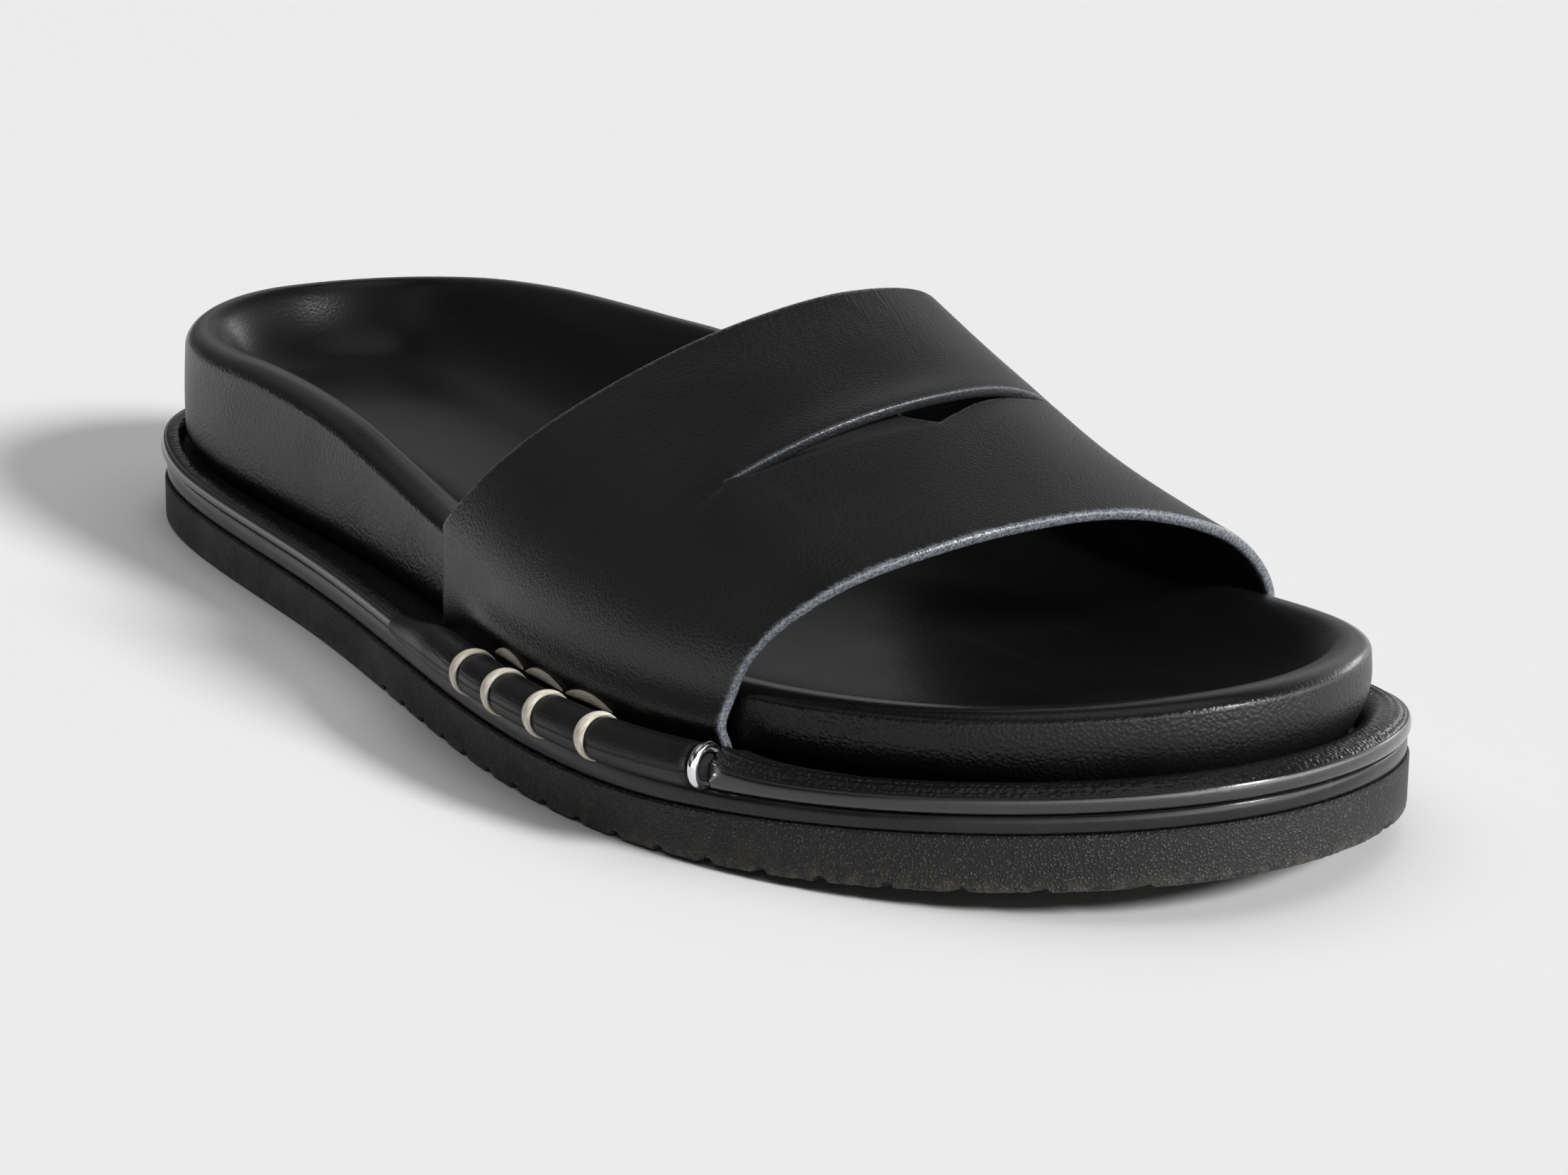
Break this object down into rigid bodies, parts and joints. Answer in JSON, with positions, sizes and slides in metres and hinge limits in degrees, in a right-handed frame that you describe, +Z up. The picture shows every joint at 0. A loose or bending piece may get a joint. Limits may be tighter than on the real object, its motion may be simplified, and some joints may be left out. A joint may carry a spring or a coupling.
{
  "type": "loafer slide",
  "caption": "Open-toe leather slide for the right foot: contoured footbed, grooved welt, flat rubber sole and one wide strap with a slot and whip-stitched rolls.",
  "frame": {"origin": "middle of the bounding box in plan, on the floor plane under the sole", "axes": "+Z up, the toe points along -Y, the outer (lateral) side of the right shoe lies along -X"},
  "size_m": [0.1159, 0.2804, 0.0665],
  "materials": {
    "outsole_rubber": "matt cellular rubber, finely speckled",
    "midsole_rubber": "smooth, half matt",
    "footbed_leather": "fine pebbled wall, smooth top",
    "strap_leather": "smooth calf, soft sheen, painted edges",
    "welt_leather": "grooved, waxed",
    "roll_leather": "smooth, rolled",
    "ring_metal": "polished",
    "stitch_cord": "waxed cream cord"
  },
  "bodies": {
    "root": {"outsole": "outsole_rubber", "midsole": "midsole_rubber", "footbed": "footbed_leather", "upper": "strap_leather", "welt_rear": "welt_leather", "welt_front": "welt_leather", "roll_lateral": "roll_leather", "roll_medial": "roll_leather", "ring_lateral": "ring_metal", "ring_medial": "ring_metal"}
  },
  "joints": []
}
